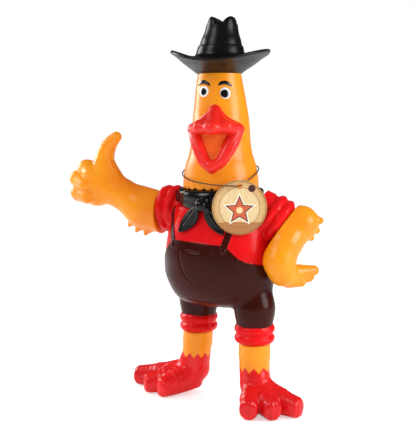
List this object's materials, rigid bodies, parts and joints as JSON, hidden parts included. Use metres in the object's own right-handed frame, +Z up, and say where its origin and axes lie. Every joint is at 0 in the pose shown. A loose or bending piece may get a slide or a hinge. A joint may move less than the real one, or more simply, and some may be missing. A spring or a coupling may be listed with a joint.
{
  "type": "rubber chicken",
  "caption": "Standing rubber chicken toy in cowboy dress, hollow vinyl, squeezes to squawk, with turning head, arms and legs.",
  "frame": {"origin": "on the floor, directly under the neck's swivel axis", "axes": "+Z up along the neck, -Y the way the belly faces, +X to the figure's own left"},
  "size_m": [0.2079, 0.0808, 0.3026],
  "materials": {
    "yellow_vinyl": "glossy soft vinyl, orange-yellow",
    "shirt_vinyl": "glossy soft vinyl, red shirt and brown trousers painted",
    "trouser_vinyl": "glossy dark brown paint on vinyl",
    "foot_vinyl": "glossy red paint over orange-yellow vinyl",
    "black_vinyl": "glossy black vinyl",
    "white_plastic": "moulded white plastic",
    "reed_brass": "rolled strip",
    "tag_card": "printed card",
    "cord_elastic": "thin covered elastic"
  },
  "bodies": {
    "torso": {"torso_shell": "shirt_vinyl", "neckerchief": "black_vinyl", "squawker_housing": "white_plastic", "squawker_reed_seat": "white_plastic", "squawker_cap": "white_plastic", "tag_cord": "cord_elastic", "tag_cord_knot": "cord_elastic"},
    "belly": {"belly_panel": "trouser_vinyl"},
    "head": {"head_shell": "yellow_vinyl", "hat": "black_vinyl"},
    "right_arm": {"right_arm": "yellow_vinyl"},
    "left_arm": {"left_arm": "yellow_vinyl"},
    "right_leg": {"right_leg": "foot_vinyl"},
    "left_leg": {"left_leg": "foot_vinyl"},
    "reed": {"squawker_reed": "reed_brass"},
    "tag": {"hang_tag": "tag_card"}
  },
  "joints": [
    {"name": "head_swivel", "type": "hinge", "parent": "torso", "child": "head", "pos_m": [0, 0, 0.155], "axis": [0, 0, 1], "range_deg": [-60, 60]},
    {"name": "right_arm_swivel", "type": "hinge", "parent": "torso", "child": "right_arm", "pos_m": [-0.045, 0, 0.154], "axis": [-1, 0, 0], "range_deg": [-120, 120]},
    {"name": "left_arm_swivel", "type": "hinge", "parent": "torso", "child": "left_arm", "pos_m": [0.04815, 0.00174, 0.14674], "axis": [-0.8324, -0.1022, 0.5446], "range_deg": [0, 100]},
    {"name": "right_leg_swivel", "type": "hinge", "parent": "torso", "child": "right_leg", "pos_m": [-0.026, 0.016, 0.057], "axis": [0, 0, 1], "range_deg": [-25, 30]},
    {"name": "left_leg_swivel", "type": "hinge", "parent": "torso", "child": "left_leg", "pos_m": [0.031, -0.007, 0.057], "axis": [0, 0, 1], "range_deg": [-30, 25]},
    {"name": "belly_squeeze", "type": "slide", "parent": "torso", "child": "belly", "axis": [0, 1, 0], "range_m": [0, 0.01], "stiffness_N_per_m": 700},
    {"name": "reed_flex", "type": "hinge", "parent": "torso", "child": "reed", "pos_m": [0, 0.033, 0.10445], "axis": [-1, 0, 0], "range_deg": [0, 6], "stiffness_Nm_per_rad": 0.002},
    {"name": "tag_swing", "type": "hinge", "parent": "torso", "child": "tag", "pos_m": [0.02647, -0.02872, 0.176], "axis": [0.4067, -0.9135, 0], "range_deg": [-8, 25]}
  ]
}
